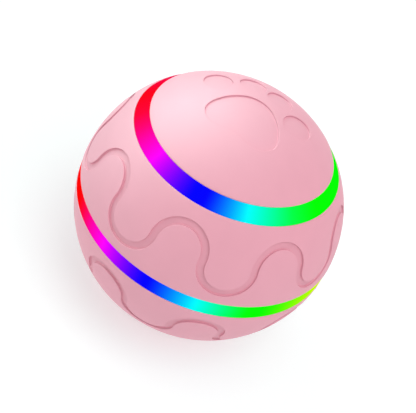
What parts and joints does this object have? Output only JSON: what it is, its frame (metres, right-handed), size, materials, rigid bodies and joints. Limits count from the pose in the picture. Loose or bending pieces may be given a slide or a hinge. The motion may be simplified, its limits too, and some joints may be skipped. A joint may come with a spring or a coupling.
{
  "type": "motion-activated dog ball",
  "caption": "Self-rolling pet ball with light rings: a weighted motor pod turns on a pole-to-pole axle inside a soft silicone skin.",
  "frame": {"origin": "centre of the small flat that the ball stands on", "axes": "+Z along the pole axis towards the cap with the paw print; -Y towards the picture's camera"},
  "size_m": [0.0798, 0.0798, 0.078],
  "materials": {
    "pink_silicone": "soft matte silicone",
    "light_diffuser": "frosted translucent, lit from inside",
    "clear_plastic": "clear gloss polycarbonate",
    "black_plastic": "fine matte",
    "grey_plastic": "fine matte",
    "white_nylon": "natural nylon",
    "steel": "ground",
    "zinc_plate": "bright zinc plate",
    "brass": "turned",
    "copper_winding": "enamelled winding on a steel core",
    "black_rubber": "matte",
    "green_board": "solder mask",
    "white_board": "white solder mask",
    "led_package": "moulded package",
    "cell_wrap": null,
    "red_lead": "insulated lead",
    "black_lead": "insulated lead"
  },
  "bodies": {
    "root": {"upper_cap_cover": "pink_silicone", "upper_band_cover": "pink_silicone", "lower_band_cover": "pink_silicone", "lower_cap_cover": "pink_silicone", "upper_light_ring": "light_diffuser", "middle_light_ring": "light_diffuser", "lower_light_ring": "light_diffuser", "upper_shell": "clear_plastic", "lower_shell": "clear_plastic", "shell_seal": "black_rubber", "hub_bush": "brass", "hub_seal": "black_rubber", "drive_axle": "steel", "axle_screw": "zinc_plate", "output_gear": "white_nylon"},
    "pod": {"axle_bearing": "brass", "axle_bush": "brass", "carrier_screw_1": "zinc_plate", "carrier_screw_2": "zinc_plate", "cell_holder": "black_plastic", "cell_lead_black": "black_lead", "cell_lead_red": "red_lead", "charge_board": "green_board", "charging_socket": "zinc_plate", "chassis_plate": "black_plastic", "circuit_board": "green_board", "controller_chip": "black_plastic", "counterweight": "steel", "gear_1_pin": "steel", "gear_2_pin": "steel", "gearbox_plate": "black_plastic", "gearbox_screw_1": "zinc_plate", "gearbox_screw_2": "zinc_plate", "gearbox_screw_3": "zinc_plate", "hub_face": "grey_plastic", "led_board": "white_board", "lower_led_1": "led_package", "lower_led_2": "led_package", "lower_led_3": "led_package", "middle_led_1": "led_package", "middle_led_2": "led_package", "middle_led_3": "led_package", "motion_sensor": "zinc_plate", "motor_can": "zinc_plate", "motor_end_cap": "white_nylon", "motor_lead_black": "black_lead", "motor_lead_red": "red_lead", "pod_carrier": "black_plastic", "power_cell": "cell_wrap", "tact_switch": "black_plastic", "upper_led_1": "led_package", "upper_led_2": "led_package", "upper_led_3": "led_package", "weight_screw_1": "zinc_plate"},
    "gear_2": {"gear_2": "white_nylon"},
    "gear_1": {"gear_1": "white_nylon"},
    "motor_rotor": {"motor_rotor": "copper_winding", "motor_pinion": "brass"},
    "power_button": {"power_button": "pink_silicone"},
    "port_plug": {"port_plug": "pink_silicone"}
  },
  "joints": [
    {"name": "pod_spin", "type": "hinge", "parent": "root", "child": "pod", "pos_m": [0, 0, 0.03816], "axis": [0, 0, 1], "continuous": true},
    {"name": "gear_2_spin", "type": "hinge", "parent": "pod", "child": "gear_2", "pos_m": [-0.01486, 0.00593, 0.03816], "axis": [0, 0, 1], "continuous": true},
    {"name": "gear_1_spin", "type": "hinge", "parent": "pod", "child": "gear_1", "pos_m": [-0.00337, 0.01462, 0.03816], "axis": [0, 0, 1], "continuous": true},
    {"name": "motor_spin", "type": "hinge", "parent": "pod", "child": "motor_rotor", "pos_m": [0.00951, 0.01027, 0.03816], "axis": [0, 0, 1], "continuous": true},
    {"name": "power_button_press", "type": "slide", "parent": "pod", "child": "power_button", "axis": [0, 0, 1], "range_m": [0, 0.0005], "stiffness_N_per_m": 800},
    {"name": "port_plug_swing", "type": "hinge", "parent": "pod", "child": "port_plug", "pos_m": [0.0061, 0, 0.001], "axis": [0, -1, 0], "range_deg": [0, 120]}
  ],
  "couplings": [
    {"joint": "gear_2_spin", "follows": "pod_spin", "ratio": 3},
    {"joint": "gear_1_spin", "follows": "pod_spin", "ratio": -7.8},
    {"joint": "motor_spin", "follows": "pod_spin", "ratio": 25.35}
  ]
}
